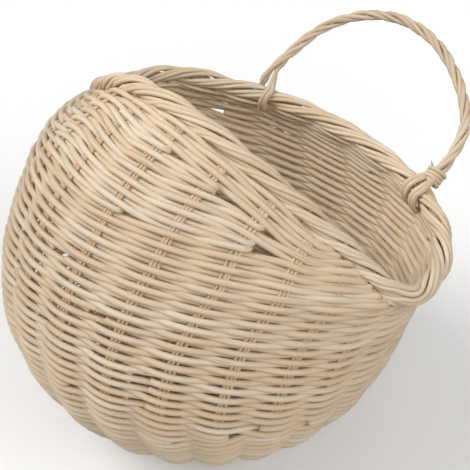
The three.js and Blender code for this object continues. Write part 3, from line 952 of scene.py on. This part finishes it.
# Handle
# Four canes twisted into a rope that leans back from the rim. At the foot on the -X side two of them go
# over the border and two behind it, at the other foot all go over it, and their ends are pushed through the
# wall below it. A few turns of cane bind the foot on the +X side.
handle_line = (
    (-66, 8.5),
    (-65, 34),
    (-57, 61),
    (-38, 80.5),
    (-12, 88.5),
    (18, 84),
    (48, 68.5),
    (70, 47.5),
    (77, 26),
    (76.5, 7.5),
)
handle_lean = math.radians(32)
lean_way = np.array((0, math.cos(handle_lean), math.sin(handle_lean)))
lean_face = np.array((0, -math.sin(handle_lean), math.cos(handle_lean)))

# Each foot stands where the back rim passes the end of the handle's line, and its canes go through the wall
# just below the border
back_shares = np.linspace(0.52, 0.98, 2000)
back_x = on_rim(back_shares)[0][:, 0]
hole_below = 1.0
feet = []
for x in (handle_line[0][0], handle_line[-1][0]):
    share = back_shares[np.argmin(np.abs(back_x - x))]
    centre, up, out = (v[0] for v in on_rim(np.array((share,))))
    hole_climb = whole(np.array((share,))) - border_radius - hole_below
    hole, _, hole_out = (v[0] for v in on_wall(np.array((share,)), hole_climb))
    along = np.cross(out, up)
    feet.append(
        {
            "centre": centre,
            "up": up,
            "out": out,
            "along": along,
            "hole": hole,
            "hole_out": hole_out,
        }
    )
foot_middle = (feet[0]["centre"] + feet[1]["centre"]) / 2
axis_points = []
for x, distance in handle_line:
    point = foot_middle + lean_way * distance
    point[0] = x
    axis_points.append(point)
axis = smooth(axis_points, steps=24)
steps = np.concatenate(([0], np.cumsum(np.linalg.norm(np.diff(axis, axis=0), axis=1))))
even = np.linspace(0, steps[-1], 150)
axis = np.stack([np.interp(even, steps, axis[:, n]) for n in range(3)], axis=-1)
axis_way = np.gradient(axis, axis=0)
axis_way /= np.linalg.norm(axis_way, axis=1)[:, None]
axis_side = np.cross(axis_way, lean_face)

# The rope makes a full turn in this length, and its canes lie this far from its middle line
handle_turn = 47.0
rope_circle = 1.95
handle_rod_radius = 1.38
thicker_at_feet = 0.14
foot_points = 40
border_gap = 0.4
holes_drawn_in = 0.8
end_inside = 3.6
end_outside = 6.2


def leg(foot, over, beside, slant):
    # From the hole in the wall up to the rope: over the border from inside, or up behind it
    def spot(out, up, slanted=0.0):
        along = foot["along"] * (beside + slant * slanted)
        return foot["centre"] + foot["out"] * out + foot["up"] * up + along

    round_it = border_radius + handle_rod_radius + border_gap
    hole = foot["hole"] + foot["along"] * beside * holes_drawn_in
    if over:
        return [
            hole,
            hole - foot["hole_out"] * end_inside,
            spot(-round_it - 0.7, -round_it * 0.55, 0.15),
            spot(-round_it - 0.5, round_it * 0.25, 0.4),
            spot(-round_it * 0.6, round_it * 0.88, 0.75),
            spot(round_it * 0.2, round_it * 1.02, 1.0),
        ]
    return [
        hole,
        hole + foot["hole_out"] * end_outside,
        spot(round_it * 1.05, -round_it * 0.62),
    ]


# Each cane: its piece and node, its place round the rope, and at each foot whether it goes over the border,
# how far beside the foot its hole lies, and how much further beside it goes on top of the border
handle_canes = (
    (
        "handle_canes_over",
        "handle_rod_over",
        (
            (0.0, (True, 6.2, 5.0), (True, -5.2, 0)),
            (0.2, (True, 9.0, 5.0), (True, -2.2, 0)),
        ),
    ),
    ("handle_cane_behind", "handle_rod_under", ((0.5, (False, -2.6, 0), (True, 3.8, 0)),)),
    ("handle_cane_middle", "handle_rod_middle", ((0.7, (False, 0.4, 0), (True, 6.8, 0)),)),
)
loop_middle = foot_middle + lean_way * 45
for name, node, canes in handle_canes:
    rods = []
    for place, first_foot, last_foot in canes:
        angle = 2 * math.pi * (even / handle_turn + place)
        spoke = lean_face * np.cos(angle)[:, None] + axis_side * np.sin(angle)[:, None]
        rope = axis + spoke * (rope_circle + 0.12 * np.sin(even / 17 + 9 * place))[:, None]
        first = leg(feet[0], *first_foot)
        last = leg(feet[1], *last_foot)[::-1]
        # A cane that slants on the border joins the rope further up
        from_foot = 8 if first_foot[2] else 2
        line = smooth(np.concatenate((first, rope[from_foot:-2:3], last)), steps=4)
        across = line - loop_middle + lean_face * 20
        from_end = np.minimum(np.arange(len(line)), np.arange(len(line))[::-1])
        at_feet = np.clip(1 - from_end / foot_points, 0, 1)
        radius = handle_rod_radius * luck.uniform(0.96, 1.05) * (1 + thicker_at_feet * at_feet)
        rods.append((line, across, radius, False))
    piece = lay_rods(name, rods, sides=10, material=handle_cane)
    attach(piece, "root")
    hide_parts(node)

binding_turns = 3.72
binding_pitch = 2.3
binding_radius = 1.15
binding_gap = 1.4
turn = np.linspace(0, 2 * math.pi * binding_turns, 112)
base_point = foot_middle + lean_way * 5.0
base_point[0] = handle_line[-1][0]
wrap = rope_circle + handle_rod_radius + binding_gap + 0.3 * np.sin(turn * 0.37)
along_x = np.array((1.0, 0, 0))
line = base_point + lean_way * (1.4 + turn / (2 * math.pi) * binding_pitch)[:, None]
line = line + lean_face * (wrap * np.cos(turn))[:, None] + along_x * (wrap * np.sin(turn))[:, None]
# Its last end stands off a little, split thin
end = line[-1] + np.array(((-0.4, 0, 1.0), (-1.0, 0, 2.6), (-1.4, 0, 4.4)))
end_radii = (0.9, 0.6, 0.3)
radius = np.concatenate((np.full(len(line), binding_radius), end_radii))
line = np.concatenate((line, end))
across = np.tile(lean_way, (len(line), 1))
binding = lay_rods("binding", [(line, across, radius, False)], sides=10, material=handle_cane)
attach(binding, "root")
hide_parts("handle_binding")

# Floor and light
# A white floor that reaches past the picture on all sides, a pale world, three wide soft suns, from the
# left over the hood, from the camera's side and low from the right, and a small lamp into the basket.
floor_light = 0.45
floor_seen = 1.0
floor_glow = 0.06
world_light = 0.34
world_seen = 1.0


def for_camera(tree, other, seen, socket):
    # One value for the camera, another for the light that falls on the basket
    path = tree.nodes.new("ShaderNodeLightPath")
    choice = tree.nodes.new("ShaderNodeMapRange")
    choice.inputs["To Min"].default_value = other
    choice.inputs["To Max"].default_value = seen
    tree.links.new(path.outputs["Is Camera Ray"], choice.inputs["Value"])
    tree.links.new(choice.outputs[0], socket)


bpy.ops.mesh.primitive_plane_add(size=6, location=(0, 0, 0))
floor = bpy.context.object
floor.name = "floor"
floor_paint = bpy.data.materials.new("floor paint")
floor_paint.use_nodes = True
shader = floor_paint.node_tree.nodes["Principled BSDF"]
shader.inputs["Roughness"].default_value = 0.9
shader.inputs["Emission Color"].default_value = (1, 1, 1, 1)
for_camera(floor_paint.node_tree, floor_light, floor_seen, shader.inputs["Base Color"])
for_camera(floor_paint.node_tree, 0.0, floor_glow, shader.inputs["Emission Strength"])
floor.data.materials.append(floor_paint)

world = bpy.context.scene.world or bpy.data.worlds.new("studio")
bpy.context.scene.world = world
world.use_nodes = True
background = world.node_tree.nodes["Background"]
background.inputs["Color"].default_value = (1, 1, 1, 1)
for_camera(world.node_tree, world_light, world_seen, background.inputs["Strength"])


def shine_from(light, source):
    light.rotation_euler = source.to_track_quat("Z", "Y").to_euler()


def sun(name, azimuth, height, spread, strength):
    bpy.ops.object.light_add(type="SUN", location=(0, 0, 1))
    light = bpy.context.object
    light.name = name
    light.data.angle = math.radians(spread)
    light.data.energy = strength
    turn = math.radians(azimuth)
    rise = math.radians(height)
    flat = math.cos(rise)
    shine_from(light, Vector((math.sin(turn) * flat, -math.cos(turn) * flat, math.sin(rise))))


sun("key", azimuth=-42, height=45, spread=40, strength=1.6)
sun("middle", azimuth=50, height=32, spread=40, strength=0.8)
sun("side", azimuth=106, height=32, spread=40, strength=0.8)
bpy.ops.object.light_add(type="SPOT", location=(-0.33, -0.31, 0.61))
inside_lamp = bpy.context.object
inside_lamp.name = "inside lamp"
inside_lamp.data.energy = 8
inside_lamp.data.spot_size = math.radians(18)
inside_lamp.data.spot_blend = 1.0
inside_lamp.data.shadow_soft_size = 0.08
lit_place = Vector((0.064, 0.085, 0.118))
shine_from(inside_lamp, inside_lamp.location - lit_place)
